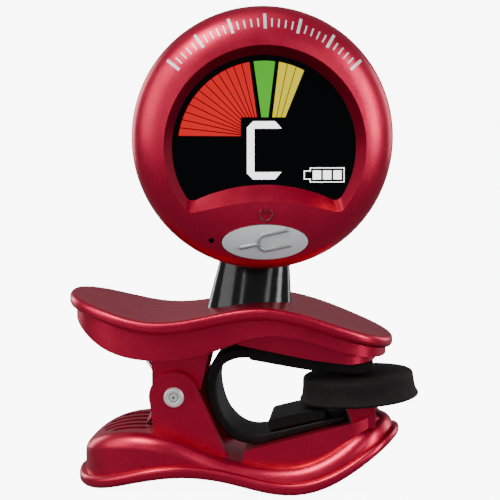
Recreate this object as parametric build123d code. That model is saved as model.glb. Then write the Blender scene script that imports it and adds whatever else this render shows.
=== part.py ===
from build123d import *
import os
from math import radians, sqrt, tan

os.makedirs("parts", exist_ok=True)

# A tuner that clips on an instrument's headstock. Millimetres, +X towards the clip's nose,
# -Y towards the player, +Z up. It is drawn standing near Z = 0 with the clip's middle at Y = 0,
# and the last lines move the origin to the middle of the base of the whole tuner's box.

# ---- clearances ----
running_gap = 0.05          # pins, the ball and its socket
moving_gap = 0.2            # between mouldings that move past each other
button_gap = 0.15           # round the power button
stack_gap = 0.1             # between pieces stacked inside the head
far = 20.0                  # half width of blanks and cuts that reach past everything

# ---- clip, seen from above ----
upper_tail, upper_nose = -32.7, 25.7
lower_tail, lower_nose = -31.3, 27.0
clip_width = 28.0
tail_half = clip_width / 2
waist_half = tail_half - 1.4
nose_half = tail_half - 2.1
arm_inset = 1.2             # the arm's wall stands back from the edge of its cover
wedge_inset = 3.0
wall = 1.6
wedge_half = 8.0
cover_thick = 2.2
cover_round = 0.8

# ---- clip, seen from the side: tops of the two covers and free edges of the two arms ----
upper_cover_top = [(-34, 35.1), (-25.5, 32.7), (-16, 30.7), (-6, 31.9), (3, 33.2), (12.3, 31.5),
                   (20.6, 28.6), (27, 26.7)]
upper_arm_edge = [(-33, 32.2), (-29, 28.2), (-25.5, 25.8), (-18.4, 23.9), (-12, 24.0), (-5.8, 25.2),
                  (1.7, 27.8), (7, 28.1), (16.5, 25.5), (26.5, 23.8)]
lower_cover_top = [(-32.5, 2.6), (-27, 2.2), (-20.7, 3.7), (-12, 5.2), (-3.7, 4.3), (6.3, 2.2),
                   (12, 2.7), (18.3, 5.6), (28, 12.3)]
lower_arm_edge = [(-31.6, 3.4), (-30, 6.2), (-26, 9.2), (-19.5, 10.5), (-12, 9.4), (-5, 6.4),
                  (0.5, 4.9), (5.5, 4.5), (10.5, 5.1), (15, 7.2), (18.8, 10.1), (26.5, 14.9)]
upper_wedge = [(-1.5, 26.0), (5.7, 24.6), (12.1, 23.4), (18.5, 22.7), (24, 23.0), (24, 29.5),
               (-1.5, 29.5)]
lower_wedge_start, lower_wedge_end = (-0.5, 6.8), (22.0, 13.2)

arm_edge_round = min(2.6, 0.26 * (tail_half - 4.0))     # no more than the arm's narrow end can take
dome_start, dome_end = -31.0, -3.0      # the hollow part of the lower arm
slot_width, slot_pitch = 1.8, 3.2
slot_start_z = 7.0          # inside the hollow dome, under its crown
slot_ends = [(-27.0, -17.2), (-26.2, -17.2), (-24.2, -17.6)]    # middle slot, then outwards

# ---- hinge ----
pivot_x, pivot_z = -12.9, 16.4
pin_radius = 1.5
rivet_radius, rivet_height = pin_radius + 0.25, 0.45
outer_ear_radius, inner_ear_radius = 4.5, 4.2
outer_ear_half = 8.0
ear_thick = 1.8
inner_ear_half = outer_ear_half - ear_thick - moving_gap
spring_wire = 0.9
spring_radius = pin_radius + 0.75 + spring_wire / 2
spring_half = inner_ear_half - ear_thick - 0.8
spring_leg_radius = spring_wire / 2 - 0.04      # thinner than the coil, so that they join cleanly
lower_leg_end = (-20.6, 4.75)                   # resting on the lower cover
upper_leg_end = (-22.5, 26.3)                   # pressing up inside the upper arm

# ---- rubber lining ----
liner_half = 5.5
bend_thick = 1.9
upper_liner_under = [(0.5, 22.95), (7.7, 21.6), (14, 20.8), (19.5, 20.45), (22.2, 20.75)]
upper_liner_nose_z = 22.87
bend_middle = [(0.2, 23.95), (-4.9, 22.6), (-6.5, 17.6), (-4.4, 11.5), (1.5, 8.5)]
lower_liner_top = [(2.6, 9.35), (17.4, 13.25)]
lower_liner_start = 1.9
block_top = [(3.7, 12.4), (9.0, 13.75), (10.6, 14.05), (13.9, 14.2)]

# ---- rubber pad ----
pad_x, pad_z, pad_tilt = 19.5, 20.0, 4.0
pad_top_radius = 9.9
pad_low_radius = pad_top_radius + 0.5
pad_lip_radius = pad_low_radius + 0.3
pad_thick = 4.6
pad_face_thick = 2.0
carrier_radius, carrier_thick = pad_top_radius - 1.5, 1.4
boss_x, boss_z, boss_radius = 20.3, 14.9, 2.5
boss_half, boss_thick = 6.5, 1.8
boss_dish, boss_rim = 0.3, 0.4      # shallow dish in the boss's face, and the rim left round it
pad_pin_radius = 1.0
lug_radius = 2.0

# ---- neck and ball ----
ball_x, ball_z, ball_radius = 1.4, 47.95, 3.6
shank_radius = 1.8
shank_foot = 34.2
neck_foot_x, neck_foot_z = -0.3, 30.0
neck_foot_size = (15.8, 11.4)
neck_top_x, neck_top_z, neck_top_size = 0.8, 39.9, (12.7, 7.2)
neck_cap_z, neck_cap_size = 42.3, (6.0, 5.6)
neck_screws_x = (-4.3, 5.6)
neck_screw_top = 37.0
screw_radius, screw_head_radius = 0.9, 1.7
neck_screw_head = 1.2
cup_wall = 1.15
cup_opening = 62.0          # half angle of the cup's mouth, degrees
trunnion_radius = 2.8
ring_radius, ring_thick = 4.2, 0.9

# ---- head; its own axes are X right, Y back, Z up, from the middle of its parting plane ----
head_yaw = 9.0
head_radius = 22.5
bezel_depth, rear_depth = 8.7, 5.3
bezel_wall, rear_wall = 1.6, 1.5
side_band = 2.2                             # straight part of the bezel's side
ball_back = rear_depth + 4.0
ball_drop = head_radius - 7.8               # the ball stays level with the head's lower edge
socket_boss_start = rear_depth - 2.7        # inner end of the rear cover's boss
socket_boss_end = ball_back - ball_radius + 0.2     # short of the ball's shank as the head tilts
trunnion_end = socket_boss_start - ring_thick - 0.3
post_circle, post_radius = head_radius - 4.3, 2.0
post_angles = (90, 205, 335)
spigot_reach, spigot_root, spigot_thick = 1.0, 1.8, 0.85

# ---- window, lens and button ----
button_rx, button_rz = 7.3, 3.05
button_drop = head_radius - 5.1
button_proud, button_travel = 0.4, 0.5
button_flange, button_flange_thick = 0.7, 0.6
button_seat = -bezel_depth + 3.8            # where the button's flange meets the back of the bezel
button_stem_radius = 1.2
window_drop = 1.5                           # middle of the window's circle below the head's middle
window_out = head_radius - 4.8
window_in = window_out - 2.0
sill_out = button_drop - 6.7                # window's lower edge below the head's middle
sill_in = sill_out - 2.9
sill_out_bend, sill_in_bend = 33.0, 28.0
window_out_corner, window_in_corner = 1.0, 1.4
collar_thick = 2.6                          # bezel material round the lens
lamp_x, lamp_z, lamp_hole_radius = -button_rx - 1.8, -button_drop + 0.3, 0.48
icon_z, icon_radius, icon_line = -sill_out - 1.9, 1.05, 0.3
icon_proud = 0.16

# ---- pieces stacked behind the window, front to back ----
lens_front = -bezel_depth + 3.3
lens_thick, lens_flange = 1.2, 0.8
panel_thick, guide_thick, board_thick = 1.6, 1.0, 0.8
lens_back = lens_front + lens_thick
panel_back = lens_back + panel_thick
board_front = panel_back + guide_thick
board_back = board_front + board_thick
panel_inset = 0.6                           # panel and guide stand in from the window's edge
board_radius = head_radius - bezel_wall - 1.1
switch_body, switch_plunger = (3.6, 0.9, 2.8), (0.8, 0.4)
switch_top = board_front - switch_body[1] - switch_plunger[1]
lamp_size = (1.2, 0.6, 0.8)
sensor_radius, sensor_thick, sensor_z = 5.0, 0.4, -5.0
sensor_back = rear_depth - rear_wall
battery_low, battery_high, battery_right = -3.0, 11.0, 7.0
battery_left = -sqrt((head_radius - 3.9) ** 2 - battery_high ** 2)
battery_back = sensor_back - sensor_thick - 0.7
port_size = (6.5, 3.2, 8.9)
port_wall, port_sunk = 0.3, 0.3
rear_screw_tip = lens_back + 0.8
rear_screw_head = 1.0
screw_seat = rear_depth - 2.4


def side_face(edges):
    """A closed outline given as X, Z points, stood up on the XZ plane."""
    return Plane.XZ * make_face(edges)


def widen(face, half, start=0.0):
    """A side outline made solid from |Y| = start to |Y| = half, on both sides."""
    whole = extrude(face, amount=half, both=True)
    if start > 0:
        whole -= extrude(face, amount=start, both=True)
    return whole


def side_polygon(points):
    return side_face([Polyline(*points, close=True)])


def between(low_points, low_shift, high_points, high_shift):
    """The side outline between two curves, each shifted up by its own amount."""
    low = Spline(*[(x, z + low_shift) for x, z in low_points])
    high = Spline(*[(x, z + high_shift) for x, z in high_points])
    return side_face([low, high, Line(low @ 0, high @ 0), Line(low @ 1, high @ 1)])


def plan(tail, nose, inset):
    """The clip's egg-shaped outline as a tall block, set in all round by inset."""
    half = [(tail + inset, 0), (tail + 3.1 + inset * 0.8, tail_half - 4.8 - inset * 0.6),
            (tail + 13.7, tail_half - inset), (tail + 29, waist_half - inset),
            (nose - 12.5, nose_half - inset), (nose - 3.4 - inset * 0.5, nose_half - 3.5 - inset * 0.8),
            (nose - inset, 0)]
    mirrored = [(x, -y) for x, y in reversed(half[1:-1])]
    outline = make_face([Spline(*(half + mirrored), periodic=True)])
    return Pos(0, 0, -10) * extrude(outline, amount=80)


def round_rim(solid, radius):
    return fillet(solid.edges().filter_by(lambda e: e.length > 20), radius)


def y_cylinder(x, z, radius, y_from, y_to):
    cylinder = Cylinder(radius, y_to - y_from, align=(Align.CENTER, Align.CENTER, Align.MIN))
    return Pos(x, y_from, z) * Rot(-90, 0, 0) * cylinder


def y_pair(x, z, radius, inner, outer):
    """Two discs, from |Y| = inner to |Y| = outer on both sides."""
    return y_cylinder(x, z, radius, -outer, -inner) + y_cylinder(x, z, radius, inner, outer)


def z_cylinder(x, radius, z_from, z_to):
    cylinder = Cylinder(radius, z_to - z_from, align=(Align.CENTER, Align.CENTER, Align.MIN))
    return Pos(x, 0, z_from) * cylinder


def sum_of(pieces):
    """Several pieces joined, or kept together as one group where they don't touch."""
    total = pieces[0]
    for piece in pieces[1:]:
        total += piece
    return total


# ---------------------------------------------------------------- covers and arms

def make_upper_cover():
    blank = plan(upper_tail, upper_nose, 0)
    blank &= widen(between(upper_cover_top, -cover_thick, upper_cover_top, 0), far)
    cover = round_rim(blank, cover_round)
    for x in neck_screws_x:
        cover -= z_cylinder(x, screw_radius + running_gap, 0, neck_screw_top)
    return cover


def make_lower_cover():
    blank = plan(lower_tail, lower_nose, 0)
    blank &= widen(between(lower_cover_top, -cover_thick, lower_cover_top, 0), far)
    return round_rim(blank, cover_round)


def level(outline, z):
    """A straight line under or over an outline, at height z."""
    return [(x, z) for x, _ in outline]


def screw_seat_height(x):
    """Lowest point of the upper arm's ceiling over a neck screw's head."""
    ceiling = Spline(*[(px, pz - cover_thick - wall) for px, pz in upper_cover_top])
    points = [ceiling @ (i / 200) for i in range(201)]
    return min(p.Y for p in points if abs(p.X - x) < screw_head_radius + moving_gap)


def make_upper_arm():
    under = -cover_thick
    outer = plan(upper_tail, upper_nose, arm_inset)
    outer &= widen(between(upper_arm_edge, 0, upper_cover_top, under), far)
    room = widen(between(upper_arm_edge, -far, upper_cover_top, under - wall), far)
    arm = outer - (plan(upper_tail, upper_nose, arm_inset + wall) & room)
    below_cover = widen(between(level(upper_cover_top, 0), 0, upper_cover_top, under), far)
    wedge = widen(side_polygon(upper_wedge), wedge_half)
    arm += wedge & plan(upper_tail, upper_nose, wedge_inset) & below_cover
    back, front, top = pivot_x - inner_ear_radius, pivot_x + 6.3, pivot_z + 13.6
    ear = side_polygon([(back, pivot_z), (back, top), (front, top), (front - 0.2, pivot_z + 7.8),
                        (pivot_x + inner_ear_radius, pivot_z)])
    ears = widen(ear, inner_ear_half, inner_ear_half - ear_thick)
    ears += y_pair(pivot_x, pivot_z, inner_ear_radius, inner_ear_half - ear_thick, inner_ear_half)
    arm += ears & below_cover
    arm -= y_cylinder(pivot_x, pivot_z, pin_radius + running_gap, -far, far)
    for x in neck_screws_x:
        arm -= z_cylinder(x, screw_radius + running_gap, 0, neck_screw_top)
        arm -= z_cylinder(x, screw_head_radius + running_gap, 0, screw_seat_height(x))
    return arm


def make_lower_arm():
    outer = plan(lower_tail, lower_nose, arm_inset)
    outer &= widen(between(lower_cover_top, 0, lower_arm_edge, 0), far)
    top_edge = outer.edges().filter_by(lambda e: e.length > 20).sort_by(Axis.Z)[-1]
    outer = fillet(top_edge, arm_edge_round)
    dome_floor = [point for point in lower_cover_top if dome_start < point[0] < dome_end]
    dome_crown = [point for point in lower_arm_edge if dome_start < point[0] < dome_end]
    room = widen(between(dome_floor, -cover_thick, dome_crown, -wall), far)
    arm = outer - (plan(lower_tail, lower_nose, arm_inset + wall + 0.8) & room)
    for row, (start, end) in enumerate(slot_ends):
        for side in ((0,) if row == 0 else (-1, 1)):
            slot = extrude(SlotOverall(end - start, slot_width), amount=far)
            arm -= Pos((start + end) / 2, side * row * slot_pitch, slot_start_z) * slot
    above_cover = widen(between(lower_cover_top, 0, level(lower_cover_top, 2 * far), 0), far)
    (x0, z0), (x1, z1) = lower_wedge_start, lower_wedge_end
    foot = 2.0
    wedge_side = side_polygon([(x0, z0), (x1, z1), (x1 + 2, z1 - 1), (x1 + 2, foot), (x0, foot)])
    arm += widen(wedge_side, wedge_half) & plan(lower_tail, lower_nose, wedge_inset) & above_cover
    back, foot = pivot_x - outer_ear_radius, pivot_z - 11.6
    ear = side_polygon([(back, pivot_z), (back + 1.2, pivot_z - 8.4), (back + 1.2, foot),
                        (pivot_x + 10, foot), (pivot_x + outer_ear_radius, pivot_z + 1)])
    ears = widen(ear, outer_ear_half, outer_ear_half - ear_thick)
    ears += y_pair(pivot_x, pivot_z, outer_ear_radius, outer_ear_half - ear_thick, outer_ear_half)
    arm += ears & above_cover
    arm -= y_cylinder(pivot_x, pivot_z, pin_radius, -far, far)
    web = side_polygon([(boss_x - boss_radius, boss_z), (boss_x - 1.2, boss_z - 3.9),
                        (boss_x + 2.6, boss_z - 3.9), (boss_x + boss_radius, boss_z)])
    bosses = widen(web, boss_half, boss_half - boss_thick)
    bosses += y_pair(boss_x, boss_z, boss_radius, boss_half - boss_thick, boss_half)
    arm += bosses - y_pair(boss_x, boss_z, boss_radius - boss_rim, boss_half - boss_dish, boss_half)
    return arm - make_pad_pin()


# ---------------------------------------------------------------- hinge, spring and lining

def make_hinge_pin():
    pin = y_cylinder(pivot_x, pivot_z, pin_radius, -outer_ear_half, outer_ear_half)
    head = y_cylinder(pivot_x, pivot_z, rivet_radius, -outer_ear_half - rivet_height, -outer_ear_half)
    return pin + fillet(head.edges().sort_by(Axis.Y)[0], rivet_height * 0.6)


def make_pin_cap():
    cap = y_cylinder(pivot_x, pivot_z, rivet_radius, outer_ear_half, outer_ear_half + rivet_height)
    return fillet(cap.edges().sort_by(Axis.Y)[-1], rivet_height * 0.6)


def make_torsion_spring():
    """The close-wound coil as one sleeve, with a leg at each end that runs off its tail side."""
    coil = y_cylinder(pivot_x, pivot_z, spring_radius + spring_wire / 2, -spring_half, spring_half)
    coil -= y_cylinder(pivot_x, pivot_z, spring_radius - spring_wire / 2, -spring_half, spring_half)
    last_turn = spring_half - spring_wire / 2
    pieces = [coil]
    for y, (x, z), side in ((-last_turn, lower_leg_end, 1), (last_turn, upper_leg_end, -1)):
        reach = sqrt((x - pivot_x) ** 2 + (z - pivot_z) ** 2)
        across_x, across_z = side * (z - pivot_z) / reach, side * (pivot_x - x) / reach
        start = (pivot_x + across_x * spring_radius, y, pivot_z + across_z * spring_radius)
        path = Line(start, (x, y, z))
        leg = Cylinder(spring_leg_radius, path.length, align=(Align.CENTER, Align.CENTER, Align.MIN))
        pieces.append(Plane(origin=path @ 0, z_dir=path % 0) * leg)
    return sum_of(pieces)


def make_upper_liner():
    """Band along the underside of the upper wedge."""
    under = Spline(*upper_liner_under)
    top = [(upper_liner_under[0][0], bend_middle[0][1] + bend_thick / 2)]
    top += [point for point in upper_wedge[:4] if point[0] > top[0][0]]
    top.append((upper_liner_under[-1][0], upper_liner_nose_z))
    face = side_face([under, Line(under @ 0, top[0]), Polyline(*top), Line(top[-1], under @ 1)])
    return widen(face, liner_half) - widen(side_polygon(upper_wedge), wedge_half)


def make_liner_bend():
    middle = Spline(*bend_middle, tangents=[(-1, 0.12), (1, 0.27)])
    return widen(Plane.XZ * trace(middle, bend_thick), liner_half)


def line_at(line, x):
    (x0, z0), (x1, z1) = line
    return z0 + (z1 - z0) * (x - x0) / (x1 - x0)


def make_lower_liner():
    wedge_line = (lower_wedge_start, lower_wedge_end)
    start, end = lower_liner_start, lower_liner_top[-1][0]
    outline = [(start, line_at(wedge_line, start)), (end, line_at(wedge_line, end)),
               (end, line_at(lower_liner_top, end)), (start, line_at(lower_liner_top, start))]
    return widen(side_polygon(outline), liner_half)


def make_grip_block():
    ends = [(block_top[-1][0], line_at(lower_liner_top, block_top[-1][0])),
            (block_top[0][0], line_at(lower_liner_top, block_top[0][0]))]
    return widen(side_polygon(block_top + ends), liner_half)


# ---------------------------------------------------------------- rubber pad

def on_pad(shape):
    """Place something drawn with the pad's top face at Z = 0."""
    return Pos(pad_x, 0, pad_z) * Rot(0, -pad_tilt, 0) * shape


def make_pad_boot():
    profile = make_face([Polyline((0, 0), (pad_top_radius - 0.5, 0), (pad_top_radius, -0.5),
                                  (pad_low_radius, -pad_thick + 1.0), (pad_lip_radius, -pad_thick + 0.5),
                                  (pad_low_radius, -pad_thick), (carrier_radius, -pad_thick),
                                  (carrier_radius, -pad_face_thick), (0, -pad_face_thick), close=True)])
    return on_pad(revolve(Plane.XZ * profile, Axis.Z))


def make_pad_carrier():
    plate = Pos(0, 0, -pad_face_thick - carrier_thick / 2) * Cylinder(carrier_radius, carrier_thick)
    lug_half = boss_half - boss_thick - moving_gap
    lug_top = pad_z - pad_face_thick - carrier_thick / 2
    lug_face = side_polygon([(boss_x - lug_radius - 1, lug_top), (boss_x - lug_radius, boss_z),
                             (boss_x + lug_radius, boss_z), (boss_x + lug_radius + 1, lug_top)])
    lug = widen(lug_face, lug_half) + y_cylinder(boss_x, boss_z, lug_radius, -lug_half, lug_half)
    carrier = on_pad(plate) + lug
    carrier -= y_pair(boss_x, boss_z, boss_radius + moving_gap, lug_half, boss_half + 1)
    return carrier - y_cylinder(boss_x, boss_z, pad_pin_radius + running_gap, -far, far)


def make_pad_pin():
    reach = boss_half - boss_dish
    return y_cylinder(boss_x, boss_z, pad_pin_radius, -reach, reach)


# ---------------------------------------------------------------- neck and ball joint

def make_neck():
    def section(x, z, size):
        return Pos(x, 0, z) * Ellipse(size[0] / 2, size[1] / 2)
    foot = section(neck_foot_x, neck_foot_z, neck_foot_size)
    shoulder = section(neck_top_x, neck_top_z, neck_top_size)
    cap = section(ball_x, neck_cap_z, neck_cap_size)
    neck = loft([foot, shoulder]) + loft([shoulder, cap])
    neck -= widen(between(level(upper_cover_top, 0), 0, upper_cover_top, 0), far)
    neck -= z_cylinder(ball_x, shank_radius + running_gap, shank_foot, ball_z)
    for x in neck_screws_x:
        neck -= z_cylinder(x, screw_radius, 0, neck_screw_top)
    return neck


def make_neck_screws():
    screws = []
    for x in neck_screws_x:
        seat = screw_seat_height(x)
        shank = z_cylinder(x, screw_radius, seat, neck_screw_top)
        screws.append(shank + z_cylinder(x, screw_head_radius, seat - neck_screw_head, seat))
    return sum_of(screws)


def make_ball_stud():
    return Pos(ball_x, 0, ball_z) * Sphere(ball_radius) + z_cylinder(ball_x, shank_radius, shank_foot, ball_z)


def on_head(shape):
    """Place something drawn on the head's own axes."""
    return Pos(ball_x, 0, ball_z) * Rot(0, 0, head_yaw) * Pos(0, -ball_back, ball_drop) * shape


def make_socket_cup():
    """Drawn about the ball's centre, with its trunnion pointing forward."""
    inner = ball_radius + running_gap
    outer = inner + cup_wall
    cup = Sphere(outer) + y_cylinder(0, 0, trunnion_radius, trunnion_end - ball_back, -inner)
    cup -= Sphere(inner)
    mouth_radius = outer * 2.2
    mouth_height = mouth_radius / tan(radians(cup_opening))
    mouth = Cone(0, mouth_radius, mouth_height, align=(Align.CENTER, Align.CENTER, Align.MIN))
    cup -= Rot(180, 0, 0) * mouth
    return on_head(Pos(0, ball_back, -ball_drop) * cup)


def make_socket_ring():
    start = socket_boss_start - ring_thick - moving_gap / 2
    ring = y_cylinder(0, -ball_drop, ring_radius, start, start + ring_thick)
    return on_head(ring - y_cylinder(0, -ball_drop, trunnion_radius, start, start + ring_thick))


# ---------------------------------------------------------------- head

def turned(points, closing, start_tangent, end_tangent):
    """A body turned about the head's Y axis from a curve of (radius, y) points and straight closing lines."""
    curve = Spline(*points, tangents=[start_tangent, end_tangent])
    face = make_face([curve, Polyline(*([points[-1]] + closing + [points[0]]))])
    return revolve(face, Axis.Y)


def bezel_curve(shift):
    """Front profile from the middle out, moved in by shift."""
    return [(0, -bezel_depth + shift), (10, -bezel_depth + 0.15 + shift),
            (head_radius - 5.0 - shift * 0.45, -bezel_depth + 0.85 + shift * 0.95),
            (head_radius - 1.3 - shift * 0.85, -bezel_depth + 3.1 + shift * 0.65),
            (head_radius - shift, -side_band)]


def bezel_volume(shift):
    return turned(bezel_curve(shift), [(head_radius - shift, 0), (0, 0)], (1, 0), (0, 1))


def rear_volume(shift):
    points = [(head_radius - shift, 0), (head_radius - 1.2 - shift * 0.9, rear_depth - 2.4 - shift * 0.45),
              (head_radius - 5 - shift * 0.5, rear_depth - 0.4 - shift * 0.9), (12, rear_depth - shift)]
    return turned(points, [(0, rear_depth - shift), (0, 0)], (0, 1), (-1, 0))


def window_outline(radius, sill, bend, grow, corner):
    """The arched window: a circle cut off below by a wider arch, with rounded corners."""
    circle = Pos(0, -window_drop) * Circle(radius + grow)
    arch = Pos(0, -sill - bend) * Circle(bend - grow)
    return fillet((circle - arch).vertices(), corner)


def window_solid(grow, y_from, y_to):
    """Straight-sided block of the inner window outline, larger by grow."""
    face = Plane.XZ * window_outline(window_in, sill_in, sill_in_bend, grow, window_in_corner + grow)
    return Pos(0, y_to, 0) * extrude(face, amount=y_to - y_from)


def window_recess():
    """The sloping recess from the bezel's crest down to the lens."""
    crest = -bezel_depth - 0.2
    outer = Plane.XZ * window_outline(window_out, sill_out, sill_out_bend, 0, window_out_corner)
    inner = Plane.XZ * window_outline(window_in, sill_in, sill_in_bend, 0, window_in_corner)
    return loft([Pos(0, crest, 0) * outer, Pos(0, lens_front, 0) * inner])


def button_block(grow, y_from, y_to):
    face = Plane.XZ * Ellipse(button_rx + grow, button_rz + grow)
    return Pos(0, y_to, -button_drop) * extrude(face, amount=y_to - y_from)


def post_positions():
    return [Vector(post_circle, 0).rotate(Axis.Z, angle) for angle in post_angles]


def make_front_bezel():
    skin = bezel_volume(0) - bezel_volume(bezel_wall)
    inside = bezel_volume(bezel_wall / 4)
    collar = window_solid(collar_thick, -bezel_depth, lens_back) & inside
    posts = sum_of([y_cylinder(p.X, p.Y, post_radius, lens_back, 0) for p in post_positions()])
    bezel = skin + collar + (posts & inside)
    bezel -= window_recess()
    bezel -= window_solid(lens_flange, lens_front, lens_back)
    bezel -= button_block(button_gap, -far, 0)
    bezel -= button_block(button_flange + button_gap, button_seat, 0)
    bezel -= y_cylinder(lamp_x, lamp_z, lamp_hole_radius, -far, board_front)
    for p in post_positions():
        bezel -= y_cylinder(p.X, p.Y, screw_radius, rear_screw_tip, 0)
    bezel -= charge_port_block(stack_gap)
    return on_head(bezel + power_icon())


def power_icon():
    """Raised sign on the bezel: an open ring with a short bar."""
    ring = Circle(icon_radius + icon_line / 2) - Circle(icon_radius - icon_line / 2)
    ring -= Pos(0, icon_radius) * Rectangle(icon_radius * 0.9, icon_radius)
    ring += Pos(0, icon_radius * 0.72) * Rectangle(icon_line, icon_radius * 1.1)
    raised = Pos(0, 0, icon_z) * extrude(Plane.XZ * ring, amount=far)
    lifted = Pos(0, -icon_proud, 0) * bezel_volume(0)
    return (raised & lifted) - (Pos(0, icon_proud / 3, 0) * bezel_volume(0))


def make_power_button():
    cap = button_block(0, -far, button_seat) & (Pos(0, -button_proud, 0) * bezel_volume(0))
    flange = button_block(button_flange, button_seat, button_seat + button_flange_thick)
    stem_end = switch_top - button_travel - running_gap
    stem = y_cylinder(0, -button_drop, button_stem_radius, button_seat, stem_end)
    return on_head(cap + flange + stem)


def make_display_lens():
    return on_head(window_solid(lens_flange - running_gap, lens_front, lens_back))


def make_display_panel():
    return on_head(window_solid(-panel_inset, lens_back, panel_back))


def make_light_guide():
    return on_head(window_solid(-panel_inset, panel_back, board_front))


def make_main_board():
    board = y_cylinder(0, 0, board_radius, board_front, board_back)
    for p in post_positions():
        board -= y_cylinder(p.X, p.Y, post_radius + moving_gap + stack_gap, board_front, board_back)
    return on_head(board)


def make_tact_switch():
    width, depth, height = switch_body
    body = Pos(0, board_front - depth / 2, -button_drop) * Box(width, depth, height)
    return on_head(body + y_cylinder(0, -button_drop, switch_plunger[0], switch_top, board_front - depth))


def make_charge_lamp():
    return on_head(Pos(lamp_x, board_front - lamp_size[1] / 2, lamp_z) * Box(*lamp_size))


def charge_port_block(grow):
    length, depth, width = port_size
    face = Plane.YZ * RectangleRounded(depth + 2 * grow, width + 2 * grow, depth * 0.45 + grow)
    start = head_radius - port_sunk - length
    reach = length if grow == 0 else length + port_sunk + 5
    return Pos(start - grow, board_back + depth / 2, 0) * extrude(face, amount=reach + grow)


def make_charge_port():
    length, depth, width = port_size
    bore, back = depth - 2 * port_wall, 0.8
    start = head_radius - port_sunk - length + back
    mouth = Plane.YZ * RectangleRounded(bore, width - 2 * port_wall, bore * 0.45)
    mouth = Pos(start, board_back + depth / 2, 0) * extrude(mouth, amount=length)
    tongue_length, tongue_thick, tongue_width = 4.8, 0.7, width - 2.3
    tongue = Box(tongue_length, tongue_thick, tongue_width)
    tongue = Pos(start + tongue_length / 2, board_back + depth / 2, 0) * tongue
    return on_head(charge_port_block(0) - mouth + tongue)


def make_battery_cell():
    front = board_back + stack_gap
    thick = battery_back - front
    cell = Box(battery_right - battery_left, thick, battery_high - battery_low)
    cell = fillet(cell.edges().filter_by(Axis.Z), thick * 0.35)
    middle_x, middle_z = (battery_left + battery_right) / 2, (battery_low + battery_high) / 2
    return on_head(Pos(middle_x, front + thick / 2, middle_z) * cell)


def make_vibration_sensor():
    return on_head(y_cylinder(0, sensor_z, sensor_radius, sensor_back - sensor_thick, sensor_back))


def make_rear_cover():
    cover = rear_volume(0) - rear_volume(rear_wall)
    spigot_radius = head_radius - bezel_wall - running_gap
    spigot = y_cylinder(0, 0, spigot_radius, -spigot_reach, spigot_root)
    cover += spigot - y_cylinder(0, 0, spigot_radius - spigot_thick, -spigot_reach, spigot_root)
    posts = sum_of([y_cylinder(p.X, p.Y, post_radius, 0, rear_depth) for p in post_positions()])
    cover += posts & rear_volume(0)
    cover += y_cylinder(0, -ball_drop, ring_radius, socket_boss_start, socket_boss_end)
    cover -= y_cylinder(0, -ball_drop, trunnion_radius + running_gap, -far, far)
    cover -= Pos(0, ball_back, -ball_drop) * Sphere(ball_radius + running_gap + cup_wall + moving_gap)
    for p in post_positions():
        cover -= y_cylinder(p.X, p.Y, screw_radius + running_gap, -far, far)
        cover -= y_cylinder(p.X, p.Y, screw_head_radius + running_gap, screw_seat, far)
        cover -= y_cylinder(p.X, p.Y, post_radius + stack_gap, -far, 0)
    cover -= charge_port_block(stack_gap)
    return on_head(cover)


def make_rear_screws():
    cross_length, cross_width, cross_deep = 2.2, 0.45, 0.4
    screws = []
    for p in post_positions():
        top = screw_seat + rear_screw_head
        head = y_cylinder(p.X, p.Y, screw_head_radius, screw_seat, top)
        for cross in ((cross_length, cross_width), (cross_width, cross_length)):
            head -= Pos(p.X, top, p.Y) * Box(cross[0], 2 * cross_deep, cross[1])
        screws.append(on_head(head + y_cylinder(p.X, p.Y, screw_radius, rear_screw_tip, screw_seat)))
    return sum_of(screws)


parts = {
    "upper_cover": make_upper_cover(),
    "upper_arm": make_upper_arm(),
    "upper_liner": make_upper_liner(),
    "neck": make_neck(),
    "neck_screws": make_neck_screws(),
    "lower_cover": make_lower_cover(),
    "lower_arm": make_lower_arm(),
    "lower_liner": make_lower_liner(),
    "grip_block": make_grip_block(),
    "liner_bend": make_liner_bend(),
    "hinge_pin": make_hinge_pin(),
    "pin_cap": make_pin_cap(),
    "torsion_spring": make_torsion_spring(),
    "pad_boot": make_pad_boot(),
    "pad_carrier": make_pad_carrier(),
    "pad_pin": make_pad_pin(),
    "ball_stud": make_ball_stud(),
    "socket_cup": make_socket_cup(),
    "socket_ring": make_socket_ring(),
    "front_bezel": make_front_bezel(),
    "power_button": make_power_button(),
    "display_lens": make_display_lens(),
    "display_panel": make_display_panel(),
    "light_guide": make_light_guide(),
    "main_board": make_main_board(),
    "tact_switch": make_tact_switch(),
    "charge_lamp": make_charge_lamp(),
    "charge_port": make_charge_port(),
    "battery_cell": make_battery_cell(),
    "vibration_sensor": make_vibration_sensor(),
    "rear_cover": make_rear_cover(),
    "rear_screws": make_rear_screws(),
}

# The origin goes to the middle of the base of the whole tuner's box.
boxes = [shape.bounding_box() for shape in parts.values()]
low = [min(getattr(box.min, axis) for box in boxes) for axis in "XYZ"]
high = [max(getattr(box.max, axis) for box in boxes) for axis in "XYZ"]
shift = Pos(-(low[0] + high[0]) / 2, -(low[1] + high[1]) / 2, -low[2])
for name, shape in parts.items():
    export_step(shift * shape, f"parts/{name}.step")
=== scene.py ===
from math import atan2, ceil, cos, pi, radians, sin

import bmesh
import bpy
from mathutils import Matrix, Vector
from mathutils.bvhtree import BVHTree


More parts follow.
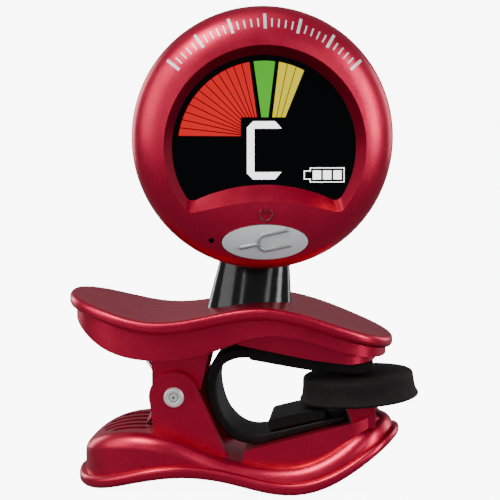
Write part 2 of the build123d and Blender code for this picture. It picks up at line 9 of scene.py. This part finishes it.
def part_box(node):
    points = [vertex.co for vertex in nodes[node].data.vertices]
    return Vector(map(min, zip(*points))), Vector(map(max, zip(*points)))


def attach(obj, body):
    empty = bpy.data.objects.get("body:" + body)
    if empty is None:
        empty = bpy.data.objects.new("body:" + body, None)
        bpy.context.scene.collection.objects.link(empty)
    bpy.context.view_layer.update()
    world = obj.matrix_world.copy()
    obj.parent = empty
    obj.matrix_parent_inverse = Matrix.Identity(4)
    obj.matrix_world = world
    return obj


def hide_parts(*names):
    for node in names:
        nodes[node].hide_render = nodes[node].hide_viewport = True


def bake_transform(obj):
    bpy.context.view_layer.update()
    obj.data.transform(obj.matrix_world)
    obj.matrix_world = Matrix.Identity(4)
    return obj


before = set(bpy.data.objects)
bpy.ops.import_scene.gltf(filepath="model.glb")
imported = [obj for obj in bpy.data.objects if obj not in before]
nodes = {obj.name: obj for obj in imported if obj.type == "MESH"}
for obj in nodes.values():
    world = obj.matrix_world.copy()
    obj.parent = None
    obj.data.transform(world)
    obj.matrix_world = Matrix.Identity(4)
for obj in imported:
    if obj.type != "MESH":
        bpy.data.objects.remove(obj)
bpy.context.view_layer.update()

mm = 0.001

# ---------------------------------------------------------------- where the drawings sit in the frame
# The clip is drawn in millimetres on its own X and Z, with the hinge at HINGE; the head is drawn
# on its own X (right), Y (back) and Z (up), from the middle of its parting plane.

HINGE = (-12.9, 16.4)
BALL_RADIUS = 3.6
HEAD_YAW = 9.0
BALL_BACK, BALL_DROP = 9.3, 14.7


def middle(node):
    low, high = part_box(node)
    return (low + high) / 2


def placed(origin, turn=Matrix.Identity(4)):
    """Matrix from a drawing in millimetres to the frame in metres."""
    return Matrix.Translation(origin) @ turn @ Matrix.Scale(mm, 4)


pin = middle("hinge_pin")
clip_origin = Vector((pin.x - HINGE[0] * mm, middle("upper_cover").y, pin.z - HINGE[1] * mm))
clip = placed(clip_origin)

stud = middle("ball_stud")
ball = Vector((stud.x, stud.y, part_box("ball_stud")[1].z - BALL_RADIUS * mm))
head_turn = Matrix.Rotation(radians(HEAD_YAW), 4, "Z")
head = placed(ball, head_turn) @ Matrix.Translation((0, -BALL_BACK, BALL_DROP))


# ---------------------------------------------------------------- finishes

class Signal:
    """A node's output that does arithmetic; each operator adds a Math node."""

    def __init__(self, finish, socket):
        self.finish = finish
        self.socket = socket

    def _math(self, operation, first, second):
        return self.finish.node("Math", {"operation": operation}, {0: first, 1: second})

    def __sub__(self, other):
        return self._math("SUBTRACT", self, other)

    def __rsub__(self, other):
        return self._math("SUBTRACT", other, self)


class Finish:
    """A procedural material round one Principled shader."""

    def __init__(self, name, **constants):
        self.material = bpy.data.materials.new(name)
        self.material.use_nodes = True
        self.tree = self.material.node_tree
        self.tree.nodes.clear()
        output = self.tree.nodes.new("ShaderNodeOutputMaterial")
        self.shader = self.tree.nodes.new("ShaderNodeBsdfPrincipled")
        self.tree.links.new(self.shader.outputs[0], output.inputs[0])
        for socket, value in constants.items():
            self.shader.inputs[socket.replace("_", " ")].default_value = value

    def node(self, kind, settings=None, sockets=None, output=0):
        made = self.tree.nodes.new("ShaderNode" + kind)
        for setting, value in (settings or {}).items():
            if setting == "stops":
                ramp = made.color_ramp
                while len(ramp.elements) < len(value):
                    ramp.elements.new(0.5)
                for stop, (position, shade) in zip(ramp.elements, value):
                    stop.position = position
                    stop.color = (shade, shade, shade, 1) if isinstance(shade, (int, float)) else (*shade, 1)
            else:
                setattr(made, setting, value)
        for socket, value in (sockets or {}).items():
            if isinstance(value, Signal):
                self.tree.links.new(value.socket, made.inputs[socket])
            else:
                made.inputs[socket].default_value = value
        return Signal(self, made.outputs[output])

    def place(self):
        """Where a point of the surface is on its own piece, in metres."""
        return self.node("TexCoord", output="Object")

    def noise(self, scale, detail=2.0, roughness=0.5):
        return self.node("TexNoise", sockets={"Vector": self.place(), "Scale": scale, "Detail": detail,
                                              "Roughness": roughness})

    def ramp(self, signal, *stops):
        return self.node("ValToRGB", {"stops": stops}, {0: signal})

    def mix(self, factor, low, high):
        low = (*low, 1) if isinstance(low, tuple) else low
        high = (*high, 1) if isinstance(high, tuple) else high
        return self.node("Mix", {"data_type": "RGBA"}, {0: factor, 6: low, 7: high}, output=2)

    def feed(self, **signals):
        for socket, signal in signals.items():
            self.tree.links.new(signal.socket, self.shader.inputs[socket.replace("_", " ")])

    def bump(self, height, depth, strength=1.0):
        sockets = {"Height": height, "Distance": depth, "Strength": strength}
        self.feed(Normal=self.node("Bump", sockets=sockets))


def satin_crimson():
    """Sprayed crimson with a fine metal flake, satin clear over it."""
    finish = Finish("satin_crimson", Metallic=0.85, Coat_Weight=0.04, Coat_Roughness=0.25)
    flake = finish.noise(4600, detail=2.0, roughness=0.7)
    cloud = finish.noise(60, detail=3.0)
    spray = finish.ramp(cloud, (0.3, (0.53, 0.013, 0.050)), (0.7, (0.63, 0.017, 0.062)))
    glints = finish.ramp(flake, (0.5, 0.0), (0.75, 0.5))
    finish.feed(Base_Color=finish.mix(glints, spray, (0.95, 0.03, 0.12)),
                Roughness=finish.ramp(finish.noise(400), (0.2, 0.30), (0.8, 0.39)))
    finish.bump(flake, 0.00002, 0.6)
    return finish.material


def soft_rubber(name, dark, light, rough):
    """Moulded rubber: a fine matt grain, a little dust, no gloss."""
    finish = Finish(name, Specular_IOR_Level=0.16)
    grain = finish.noise(3800, detail=4.0, roughness=0.65)
    dust = finish.noise(130, detail=5.0, roughness=0.7)
    finish.feed(Base_Color=finish.mix(finish.ramp(dust, (0.4, 0.0), (0.8, 1.0)), dark, light),
                Roughness=finish.ramp(grain, (0.3, rough - 0.06), (0.7, rough + 0.08)))
    finish.bump(grain, 0.00002, 0.45)
    return finish.material


def moulded(name, dark, light, rough, level=0.5):
    """Moulded plastic with a faint flow pattern."""
    finish = Finish(name, Specular_IOR_Level=level)
    flow = finish.noise(90, detail=3.0)
    finish.feed(Base_Color=finish.mix(flow, dark, light),
                Roughness=finish.ramp(finish.noise(700), (0.3, rough * 0.85), (0.7, rough * 1.2)))
    finish.bump(finish.noise(2600), 0.000006, 0.3)
    return finish.material


def brushed_metal(name, dark, light, rough):
    """Metal with fine scratches all over."""
    finish = Finish(name, Metallic=1.0)
    scratches = finish.noise(2600, detail=4.0)
    finish.feed(Base_Color=finish.mix(finish.noise(150, detail=4.0), dark, light),
                Roughness=finish.ramp(scratches, (0.3, rough * 0.8), (0.7, rough * 1.3)))
    finish.bump(scratches, 0.000004, 0.35)
    return finish.material


def silver_paint(name, dark, light, rough):
    """Silver lacquer: pale, fine-grained and only half mirror-like."""
    finish = Finish(name, Metallic=0.35)
    grain = finish.noise(5200, detail=2.0)
    wear = 1 - finish.ramp(finish.noise(170, detail=4.0), (0.35, 0.0), (0.75, 1.0))
    finish.feed(Base_Color=finish.mix(wear, dark, light),
                Roughness=finish.ramp(grain, (0.3, rough * 0.85), (0.7, rough * 1.15)))
    finish.bump(grain, 0.000008, 0.4)
    return finish.material


def lit(name, colour, strength):
    """A lit part of the display; the backlight is a touch uneven."""
    finish = Finish(name, Base_Color=(0.01, 0.01, 0.01, 1), Roughness=0.3, Emission_Strength=strength)
    finish.feed(Emission_Color=finish.mix(finish.noise(220), tuple(c * 0.88 for c in colour), colour))
    return finish.material


crimson = satin_crimson()
rubber = soft_rubber("pad_rubber", (0.0085, 0.0062, 0.0066), (0.022, 0.017, 0.017), 0.74)
liner_rubber = soft_rubber("liner_rubber", (0.0065, 0.0052, 0.0055), (0.016, 0.013, 0.013), 0.5)
black_plastic = moulded("black_plastic", (0.008, 0.008, 0.009), (0.016, 0.016, 0.018), 0.4)
gloss_black = moulded("gloss_black", (0.003, 0.003, 0.0035), (0.006, 0.006, 0.007), 0.14)
black_glass = moulded("black_glass", (0.0005, 0.0012, 0.0014), (0.001, 0.002, 0.0022), 0.08, level=0.12)
satin_silver = silver_paint("satin_silver", (0.93, 0.94, 0.95), (0.98, 0.98, 0.99), 0.36)
bright_silver = silver_paint("bright_silver", (0.86, 0.87, 0.88), (0.95, 0.95, 0.96), 0.2)
# Dark silver emblem: painted shade standing in for the shadow round the bright raised mark on the button.
emblem_painted_shade = silver_paint("emblem_painted_shade", (0.30, 0.31, 0.33), (0.40, 0.41, 0.43), 0.24)
# Dark crimson power icon: painted shade standing in for the shading of the embossed icon.
icon_painted_shade = moulded("icon_painted_shade", (0.10, 0.002, 0.008), (0.14, 0.003, 0.011), 0.4)
steel = brushed_metal("steel", (0.50, 0.50, 0.51), (0.66, 0.66, 0.67), 0.26)
black_steel = brushed_metal("black_steel", (0.03, 0.03, 0.032), (0.06, 0.06, 0.062), 0.36)
brass = brushed_metal("brass", (0.62, 0.42, 0.14), (0.76, 0.55, 0.22), 0.3)
white_plastic = moulded("white_plastic", (0.72, 0.72, 0.70), (0.82, 0.82, 0.80), 0.35)
green_board = moulded("green_board", (0.005, 0.07, 0.025), (0.01, 0.11, 0.04), 0.4)
battery_foil = brushed_metal("battery_foil", (0.55, 0.56, 0.58), (0.72, 0.72, 0.74), 0.3)
printed_silver = silver_paint("printed_silver", (0.74, 0.74, 0.77), (0.86, 0.86, 0.89), 0.4)
lit_red = lit("lit_red", (1.0, 0.0, 0.004), 0.85)
lit_green = lit("lit_green", (0.10, 0.70, 0.02), 0.85)
lit_yellow = lit("lit_yellow", (1.0, 0.80, 0.0), 1.05)
lit_white = lit("lit_white", (1.0, 1.0, 1.0), 3.0)

finish_of = {
    crimson: ("upper_cover", "upper_arm", "lower_cover", "lower_arm", "front_bezel", "rear_cover", "pad_pin"),
    gloss_black: ("neck", "socket_cup"),
    black_glass: ("display_lens",),
    satin_silver: ("power_button",),
    steel: ("ball_stud", "hinge_pin", "pin_cap", "neck_screws", "torsion_spring"),
    black_steel: ("rear_screws",),
    black_plastic: ("pad_carrier", "socket_ring", "tact_switch", "display_panel"),
    white_plastic: ("light_guide", "charge_lamp"),
    green_board: ("main_board",),
    battery_foil: ("battery_cell", "charge_port"),
    brass: ("vibration_sensor",),
    rubber: ("pad_boot", "upper_liner", "lower_liner", "liner_bend", "grip_block"),
}
for finish, names in finish_of.items():
    for name in names:
        nodes[name].data.materials.clear()
        nodes[name].data.materials.append(finish)


# ---------------------------------------------------------------- mesh tools

def piece(name, points, faces, matrix, finish, body, smooth=True):
    """A mesh from points drawn in millimetres, placed in the frame and riding on a body."""
    mesh = bpy.data.meshes.new(name)
    mesh.from_pydata([matrix @ Vector(point) for point in points], [], faces)
    tool = bmesh.new()
    tool.from_mesh(mesh)
    bmesh.ops.remove_doubles(tool, verts=tool.verts, dist=0.002 * mm)
    bmesh.ops.recalc_face_normals(tool, faces=tool.faces)
    tool.to_mesh(mesh)
    tool.free()
    mesh.polygons.foreach_set("use_smooth", [smooth] * len(mesh.polygons))
    mesh.materials.append(finish)
    made = bpy.data.objects.new(name, mesh)
    bpy.context.scene.collection.objects.link(made)
    if body:
        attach(made, body)
    return made


def grid_faces(rows, columns, closed):
    """Quads between rows of points; closed joins each row's last point to its first."""
    wrap = columns if closed else columns - 1
    return [(r * columns + c, r * columns + (c + 1) % columns, (r + 1) * columns + (c + 1) % columns,
             (r + 1) * columns + c) for r in range(rows - 1) for c in range(wrap)]


def lofted(rings):
    """Points and faces of a closed body through rings of equal length, with flat ends."""
    columns = len(rings[0])
    faces = grid_faces(len(rings), columns, True)
    faces += [tuple(range(columns)), tuple(range((len(rings) - 1) * columns, len(rings) * columns))]
    return [point for ring in rings for point in ring], faces


def lathe(profile, segments=96):
    """Points and faces of a body turned about Z from a profile of (radius, z)."""
    points = [(r * cos(2 * pi * s / segments), r * sin(2 * pi * s / segments), z)
              for r, z in profile for s in range(segments)]
    return points, grid_faces(len(profile), segments, True)


def smooth_line(points, steps):
    """A line through the points with no corners, steps to each span."""
    ends = [tuple(2 * a - b for a, b in zip(points[0], points[1]))]
    tail = [tuple(2 * a - b for a, b in zip(points[-1], points[-2]))]
    line, p = [], ends + list(points) + tail
    for i in range(1, len(p) - 2):
        for s in range(steps):
            t = s / steps
            line.append(tuple(0.5 * (2 * b + (c - a) * t + (2 * a - 5 * b + 4 * c - d) * t * t
                                     + (3 * b - a - 3 * c + d) * t ** 3)
                              for a, b, c, d in zip(p[i - 1], p[i], p[i + 1], p[i + 2])))
    return line + [tuple(points[-1])]


def tube(path, radius, sides=12):
    """Points and faces of a round wire along a path in millimetres."""
    path = [Vector(point) for point in path]
    rings, across = [], None
    for i, point in enumerate(path):
        along = (path[min(i + 1, len(path) - 1)] - path[max(i - 1, 0)]).normalized()
        across = along.orthogonal() if across is None else across - along * across.dot(along)
        across.normalize()
        beside = along.cross(across)
        rings.append([point + radius * (across * cos(2 * pi * s / sides) + beside * sin(2 * pi * s / sides))
                      for s in range(sides)])
    return lofted(rings)


def rounded(piece_, width, segments=3):
    """Rounds a piece's sharp edges."""
    edge = piece_.modifiers.new("edges", "BEVEL")
    edge.width = width * mm
    edge.segments = segments
    edge.limit_method = "ANGLE"
    edge.angle_limit = radians(35)
    edge.harden_normals = True


def plates(outlines, front, back):
    """Thin plates of the outlines (X, Z), from Y = front to Y = back."""
    points, faces = [], []
    for outline in outlines:
        start, count = len(points), len(outline)
        points += [(x, front, z) for x, z in outline] + [(x, back, z) for x, z in outline]
        faces.append(tuple(range(start, start + count)))
        faces.append(tuple(range(start + 2 * count - 1, start + count - 1, -1)))
        faces += [(start + i, start + count + i, start + count + (i + 1) % count, start + (i + 1) % count)
                  for i in range(count)]
    return points, faces


def surface_of(node):
    """Looks up a CAD node's surface, on the head's axes, along +Y."""
    graph = bpy.context.evaluated_depsgraph_get()
    tree = BVHTree.FromObject(nodes[node], graph)
    back = head.inverted()
    direction = (head.to_3x3() @ Vector((0, 1, 0))).normalized()

    def front_at(x, z):
        hit = tree.ray_cast(head @ Vector((x, -30, z)), direction)[0]
        return (back @ hit).y
    return front_at


# ---------------------------------------------------------------- rubber lining of the jaws
# Pairs of points across the lining, from the upper jaw's nose round the throat to the lower jaw:
# the side against the clip, then the side in the throat.

LINER_HALF = 5.5
LINER = [((22.2, 22.85), (22.2, 20.75)), ((18.5, 22.68), (19.0, 20.47)), ((12.1, 23.38), (12.6, 20.95)),
         ((5.7, 24.58), (6.6, 21.80)), ((2.4, 25.10), (2.5, 22.50)), ((0.7, 25.10), (0.55, 22.85)),
         ((0.2, 25.05), (0.15, 23.22)), ((-2.6, 24.80), (-2.2, 22.98)), ((-5.53, 23.31), (-4.27, 21.89)),
         ((-7.2, 20.50), (-5.38, 19.95)), ((-7.45, 17.60), (-5.55, 17.60)), ((-6.72, 13.98), (-4.90, 14.60)),
         ((-5.14, 10.91), (-3.66, 12.09)), ((-2.30, 8.35), (-1.35, 10.05)), ((1.75, 7.58), (1.25, 9.42)),
         ((5.0, 8.42), (4.8, 10.00)), ((11.0, 10.12), (10.9, 11.55)), ((17.4, 11.95), (17.3, 13.22))]


def liner_ring(outer, inner, corner=0.45, steps=4):
    """One rounded cross-section of the lining."""
    outer, inner = Vector((outer[0], 0, outer[1])), Vector((inner[0], 0, inner[1]))
    across = outer - inner
    thick = across.length
    across.normalize()
    side = Vector((0, 1, 0))
    ring = []
    for turn, (sx, sy) in enumerate(((1, 1), (0, 1), (0, 0), (1, 0))):
        centre = inner + across * (thick - corner if sx else corner)
        centre += side * (LINER_HALF - corner) * (1 if sy else -1)
        for step in range(steps + 1):
            angle = pi / 2 * (turn + step / steps)
            ring.append(centre + corner * (across * cos(angle) + side * sin(angle)))
    return ring


def build_liner():
    line = smooth_line([(*outer, *inner) for outer, inner in LINER], 7)
    rings = [liner_ring(section[:2], section[2:]) for section in line]
    points, faces = lofted(rings)
    made = piece("jaw_lining", points, faces, clip, liner_rubber, None)
    rounded(made, 0.3)
    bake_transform(made)
    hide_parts("upper_liner", "liner_bend", "lower_liner")


def build_grip_block():
    """Raised block on the lower lining, under the pad."""
    outline = [(3.95, 10.05), (3.7, 11.9), (4.2, 12.5), (9.0, 13.72), (10.6, 14.02), (13.85, 14.18),
               (13.9, 12.4)]
    points, faces = plates([outline], -LINER_HALF, LINER_HALF)
    made = piece("grip_block_rubber", points, faces, clip, liner_rubber, "lower_jaw",
                 smooth=False)
    rounded(made, 0.35)
    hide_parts("grip_block")


# ---------------------------------------------------------------- rubber pad

PAD = (19.5, 0, 20.0)
PAD_TILT = -4.0


def build_pad():
    """The boot stretched over the pad's carrier, with a thin lip round its foot."""
    profile = [(0, 0), (5, 0.0), (9.1, 0.0), (9.5, -0.06), (9.78, -0.24), (9.93, -0.52), (9.99, -1.2),
               (10.08, -2.2), (10.22, -3.1), (10.42, -3.7), (10.66, -4.02), (10.70, -4.2), (10.62, -4.42),
               (10.38, -4.58), (8.5, -4.6), (8.4, -4.5), (8.4, -2.0), (0, -2.0)]
    points, faces = lathe(profile, 120)
    tilted = clip @ Matrix.Translation(PAD) @ Matrix.Rotation(radians(PAD_TILT), 4, "Y")
    made = piece("pad_boot_rubber", points, faces, tilted, rubber, "pad_rocker")
    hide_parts("pad_boot")


# ---------------------------------------------------------------- hinge

SPRING_RADIUS, SPRING_WIRE, SPRING_HALF = 2.7, 0.42, 2.95
LOWER_LEG, UPPER_LEG = (-20.6, 4.75), (-22.5, 26.3)
SPRING_TURNS = 6


def leg_angle(end, side):
    """Angle round the hinge where a leg leaves the coil."""
    x, z = end[0] - HINGE[0], end[1] - HINGE[1]
    return atan2(-side * x, side * z)


def build_spring():
    start, end = leg_angle(LOWER_LEG, 1), leg_angle(UPPER_LEG, -1)
    sweep = 2 * pi * SPRING_TURNS + (start - end) % (2 * pi)
    steps = ceil(sweep / radians(12))
    coil = []
    for step in range(steps + 1):
        share = step / steps
        angle = start - sweep * share
        coil.append((HINGE[0] + SPRING_RADIUS * cos(angle), SPRING_HALF * (2 * share - 1),
                     HINGE[1] + SPRING_RADIUS * sin(angle)))
    path = [(LOWER_LEG[0], -SPRING_HALF, LOWER_LEG[1])] + coil + [(UPPER_LEG[0], SPRING_HALF, UPPER_LEG[1])]
    points, faces = tube(path, SPRING_WIRE)
    made = piece("hinge_spring_wire", points, faces, clip, steel, None)
    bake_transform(made)
    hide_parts("torsion_spring")


def build_rivet_faces():
    """Turned face of each rivet head: a rim, a groove, a raised ring and a dimple."""
    profile = [(0, -0.10), (0.22, -0.08), (0.34, 0.02), (0.50, 0.06), (0.62, 0.02), (0.72, -0.03),
               (0.84, -0.03), (0.92, 0.04), (1.05, 0.09), (1.40, 0.10), (1.58, 0.06), (1.72, -0.06),
               (1.80, -0.24), (1.82, -0.44), (1.82, -0.52), (0, -0.52)]
    points, faces = lathe(profile, 72)
    for name, y, turn, side in (("rivet_face_front", -8.45, 90, -1), ("rivet_face_back", 8.45, -90, 1)):
        at = clip @ Matrix.Translation((HINGE[0], y, HINGE[1])) @ Matrix.Rotation(radians(turn), 4, "X")
        piece(name, points, faces, at, bright_silver, "lower_jaw")


# ---------------------------------------------------------------- display figures

LENS_FRONT = -5.4
FIGURE_PROUD, FIGURE_SUNK = 0.03, 0.3
WINDOW_DROP = 1.5
SCALE_RADIUS = 14.7
SCALE_GAP = 0.13
CORNER_X, CORNER_Z = -4.0, 3.66


def on_scale(angle):
    """Point of the scale's outer arc, at an angle from the right."""
    return SCALE_RADIUS * cos(angle), SCALE_RADIUS * sin(angle) - WINDOW_DROP


def scale_angle(x, z):
    return atan2(z + WINDOW_DROP, x)


def wedge(outer_start, outer_end, inner):
    """One segment of the scale: an arc from one angle to another, then its inner points."""
    steps = 6
    arc = [on_scale(outer_start + (outer_end - outer_start) * s / steps) for s in range(steps + 1)]
    return arc + inner


def red_segments():
    """Segments that fan out from the left of the note, cut off by a square corner round it."""
    count = 13
    first, last = scale_angle(-14.5, 0.5), scale_angle(-2.5, 13.2)
    outlines = []

    def inner_end(angle, share):
        x, z = on_scale(angle)
        cx, cz = 0.1 - 0.65 * share, 0.35 - 1.35 * share
        to_side = (CORNER_X - cx) / (x - cx)
        to_top = (CORNER_Z - cz) / (z - cz)
        reach = to_side if cz + (z - cz) * to_side < CORNER_Z else to_top
        return cx + (x - cx) * reach, cz + (z - cz) * reach

    for i in range(count):
        a, b = i / count, (i + 1) / count
        start, end = first + (last - first) * a, first + (last - first) * b
        trim = SCALE_GAP / 2 / SCALE_RADIUS
        start_in, end_in = Vector(inner_end(start, a)), Vector(inner_end(end, b))
        corner = [(CORNER_X, CORNER_Z)] if start_in.y < CORNER_Z - 0.01 and end_in.x > CORNER_X + 0.01 else []
        shrink = min(SCALE_GAP / 2 / max((end_in - start_in).length, 0.01), 0.2)
        inner = [tuple(end_in.lerp(start_in, shrink))] + corner + [tuple(start_in.lerp(end_in, shrink))]
        outlines.append(wedge(start - trim, end + trim, inner))
    return outlines


def top_segments(top_left, top_right, low_left, low_right, count):
    """Segments at the top of the scale, between a slanting left and right edge."""
    first, last = scale_angle(*top_left), scale_angle(*top_right)
    trim = SCALE_GAP / 2 / SCALE_RADIUS if count > 1 else 0
    outlines = []
    for i in range(count):
        a, b = i / count, (i + 1) / count
        left, right = low_left + (low_right - low_left) * a, low_left + (low_right - low_left) * b
        edge = SCALE_GAP / 2 if count > 1 else 0
        outlines.append(wedge(first + (last - first) * a - trim, first + (last - first) * b + trim,
                              [(right - edge, CORNER_Z), (left + edge, CORNER_Z)]))
    return outlines


def note_letter():
    """A note's name, in straight display segments."""
    left, right, top, low, stroke, chamfer = -2.94, 2.94, 3.0, -6.9, 1.25, 1.05
    return [[(left, low + chamfer), (left, top - chamfer), (left + chamfer, top), (right - 1.1, top),
             (right, top - stroke), (left + stroke, top - stroke), (left + stroke, low + stroke),
             (right, low + stroke), (right - 1.1, low), (left + chamfer, low)]]


def bar(left, right, top, low):
    """A rectangle as an outline of four points."""
    return [(left, top), (right, top), (right, low), (left, low)]


def battery_sign():
    """A battery's outline with its end cap, and three full cells inside."""
    left, right, top, low, line = 7.8, 13.75, -4.9, -7.46, 0.16
    cap_left, cap_top, cap_low = 6.77, -5.42, -6.94
    cell, cell_gap, margin = 1.42, 0.34, 0.5
    body = [bar(left, right, top, top - line), bar(left, right, low + line, low),
            bar(right - line, right, top - line, low + line)]
    cap = [bar(cap_left, left + line, cap_top, cap_top - line),
           bar(cap_left, left + line, cap_low + line, cap_low),
           bar(cap_left, cap_left + line, cap_top - line, cap_low + line),
           bar(left, left + line, top - line, cap_top), bar(left, left + line, cap_low, low + line)]
    starts = [left + margin + i * (cell + cell_gap) for i in range(3)]
    return body + cap + [bar(x, x + cell, top - margin, low + margin) for x in starts]


def build_display():
    figures = (("scale_red", red_segments(), lit_red),
               ("scale_green", top_segments((-1.85, 13.3), (1.85, 13.3), -0.5, 0.69, 1), lit_green),
               ("scale_yellow", top_segments((2.45, 13.2), (6.9, 11.7), 1.3, 3.63, 3), lit_yellow),
               ("note_sign", note_letter(), lit_white),
               ("battery_sign", battery_sign(), lit_white))
    for name, outlines, finish in figures:
        points, faces = plates(outlines, LENS_FRONT - FIGURE_PROUD, LENS_FRONT + FIGURE_SUNK)
        made = piece(name, points, faces, head, finish, "head", smooth=False)
        made.visible_diffuse = False
        made.visible_glossy = False


# ---------------------------------------------------------------- print on the bezel, emblem on the button

def build_graduations():
    """Silver scale printed round the top of the bezel, laid on its curved face."""
    front_at = surface_of("front_bezel")
    points, faces = [], []
    for step in range(-15, 16):
        angle = radians(step * 3.4)
        major = step % 5 == 0
        inner, outer, half = (18.55, 21.1, 0.26) if major else (18.9, 20.3, 0.13)
        rows = 7
        start = len(points)
        for row in range(rows):
            r = inner + (outer - inner) * row / (rows - 1)
            for side in (-1, 1):
                x, z = r * sin(angle) + side * half * cos(angle), r * cos(angle) - side * half * sin(angle)
                y = front_at(x, z)
                points += [(x, y - 0.03, z), (x, y + 0.1, z)]
        for row in range(rows - 1):
            a = start + row * 4
            faces += [(a, a + 2, a + 6, a + 4), (a + 1, a + 5, a + 7, a + 3), (a, a + 4, a + 5, a + 1),
                      (a + 2, a + 3, a + 7, a + 6)]
        z = start + (rows - 1) * 4
        faces += [(start, start + 1, start + 3, start + 2), (z, z + 2, z + 3, z + 1)]
    piece("bezel_graduations", points, faces, head, printed_silver, "head", smooth=False)


BUTTON_DROP = 17.4


def build_power_icon():
    """The open ring and bar raised over the button, coloured darker as painted shade along the embossed icon.
    """
    front_at = surface_of("front_bezel")
    centre, radius, line = -12.6, 1.05, 0.17
    ring = [(radius * sin(angle), centre + radius * cos(angle))
            for angle in [radians(42 + 276 * k / 40) for k in range(41)]]
    stroke = [(0, centre + radius * (1.25 - k / 8)) for k in range(9)]
    for name, strokes in (("icon_ring", ring), ("icon_bar", stroke)):
        points, faces = tube([(x, front_at(x, z), z) for x, z in strokes], line)
        piece(name, points, faces, head, icon_painted_shade, "head")


def build_emblem():
    """A tuning fork raised on the button, coloured dark silver as painted shade round the raised mark."""
    front_at = surface_of("power_button")
    prong, bend, reach, root, stem = 1.35, 1.2, 4.2, 0.0, 3.3
    side = [(reach - (reach - root) * k / 8, prong) for k in range(8)]
    curve = [(root - bend * sin(pi * k / 16), prong * cos(pi * k / 16)) for k in range(17)]
    fork = side + curve + [(x, -z) for x, z in reversed(side)]
    handle = [(root - bend - stem * k / 8, 0) for k in range(9)]
    for name, line in (("emblem_fork", fork), ("emblem_stem", handle)):
        tilt = radians(12)
        path = []
        for x, z in line:
            u, w = x * cos(tilt) - z * sin(tilt), x * sin(tilt) + z * cos(tilt) - BUTTON_DROP
            path.append((u, front_at(u, w) - 0.02, w))
        points, faces = tube(path, 0.38)
        piece(name, points, faces, head, emblem_painted_shade, "button")


build_liner()
build_grip_block()
build_pad()
build_spring()
build_rivet_faces()
build_display()
build_graduations()
build_power_icon()
build_emblem()

# ---------------------------------------------------------------- floor, light and camera

FLOOR_FLAT, FLOOR_REACH, FLOOR_RISE = 0.9, 1.5, 0.6
FLOOR_GLOW = 9.0
LIGHTS_AIM = Vector((0, 0, 0.045))


def build_floor():
    """A pale floor that curves up all round into a low wall."""
    angles = [pi / 2 * k / 16 for k in range(17)]
    rise = [(FLOOR_FLAT + (FLOOR_REACH - FLOOR_FLAT) * sin(angle), FLOOR_RISE * (1 - cos(angle)))
            for angle in angles]
    profile = [(0.0, 0.0), (0.3, 0.0)] + rise
    points, faces = lathe([(r / mm, z / mm) for r, z in profile], 96)
    finish = Finish("pale_floor", Roughness=0.85, Emission_Strength=FLOOR_GLOW)
    white = finish.mix(finish.noise(30, detail=3.0), (0.88, 0.88, 0.88), (0.92, 0.92, 0.92))
    finish.feed(Base_Color=white, Emission_Color=white)
    mesh = bpy.data.meshes.new("floor")
    mesh.from_pydata([Vector(point) * mm for point in points], [], faces)
    mesh.polygons.foreach_set("use_smooth", [True] * len(mesh.polygons))
    mesh.materials.append(finish.material)
    floor = bpy.data.objects.new("floor", mesh)
    floor.visible_glossy = False
    floor.visible_diffuse = False
    bpy.context.scene.collection.objects.link(floor)


def softbox(name, place, width, height, power):
    """A plain white studio light turned to the tuner."""
    lamp = bpy.data.lights.new(name, "AREA")
    lamp.shape = "RECTANGLE"
    lamp.size, lamp.size_y = width, height
    lamp.energy = power
    light = bpy.data.objects.new(name, lamp)
    light.location = place
    light.rotation_euler = (LIGHTS_AIM - Vector(place)).to_track_quat("-Z", "Y").to_euler()
    bpy.context.scene.collection.objects.link(light)


def build_lights():
    softbox("left_box", (-0.56, -0.34, 0.32), 0.46, 0.66, 2.3)
    softbox("right_box", (0.60, -0.25, 0.22), 0.18, 0.50, 2.4)
    softbox("left_strip", (-0.195, -0.57, 0.23), 0.05, 0.30, 0.14)
    softbox("right_strip", (0.335, -0.50, 0.23), 0.10, 0.30, 0.26)
    softbox("high_box", (-0.30, -0.40, 0.75), 0.30, 0.30, 5.0)
    softbox("top_box", (0.0, -0.1, 0.9), 0.5, 0.5, 0.5)
    softbox("low_box", (-0.22, -0.60, 0.07), 0.45, 0.10, 0.12)
    softbox("back_left_box", (-0.52, 0.42, 0.16), 0.25, 0.40, 1.3)
    softbox("back_right_box", (0.52, 0.42, 0.16), 0.25, 0.40, 1.0)
    world = bpy.data.worlds.new("studio")
    world.use_nodes = True
    sky = world.node_tree.nodes["Background"]
    sky.inputs[0].default_value = (0.95, 0.97, 1.0, 1)
    sky.inputs[1].default_value = 0.22
    bpy.context.scene.world = world


def build_camera():
    azimuth, elevation, distance = radians(5.0), radians(6.5), 0.300
    aim = clip_origin + Vector((0, 0, 0.04198))
    back = Vector((sin(azimuth) * cos(elevation), -cos(azimuth) * cos(elevation), sin(elevation)))
    data = bpy.data.cameras.new("camera")
    data.lens, data.sensor_width = 120, 36
    data.clip_start = 0.01
    camera = bpy.data.objects.new("camera", data)
    camera.location = aim + back * distance
    camera.rotation_euler = (-back).to_track_quat("-Z", "Y").to_euler()
    bpy.context.scene.collection.objects.link(camera)
    bpy.context.scene.camera = camera


build_floor()
build_lights()
build_camera()
